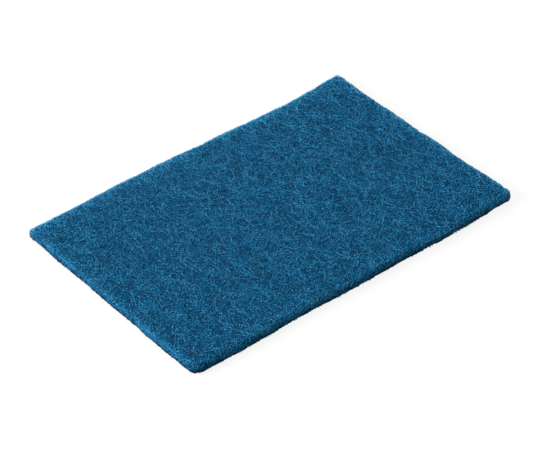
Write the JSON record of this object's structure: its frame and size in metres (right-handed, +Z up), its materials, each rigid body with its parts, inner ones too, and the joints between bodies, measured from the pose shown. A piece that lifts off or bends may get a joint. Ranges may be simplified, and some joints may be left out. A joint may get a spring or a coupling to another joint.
{
  "type": "nylon scouring pad",
  "caption": "Flat rectangular scouring pad of blue nonwoven nylon web, with soft rolled rims, slightly wavy cut sides and worn corners.",
  "frame": {"origin": "on the underside, midway between the sides of the pad", "axes": "+X along the long sides, +Y across the pad, +Z up out of the upper face"},
  "size_m": [0.2308, 0.1523, 0.0067],
  "materials": {
    "nonwoven_nylon": null
  },
  "bodies": {
    "root": {"scouring_pad": "nonwoven_nylon"}
  },
  "joints": []
}
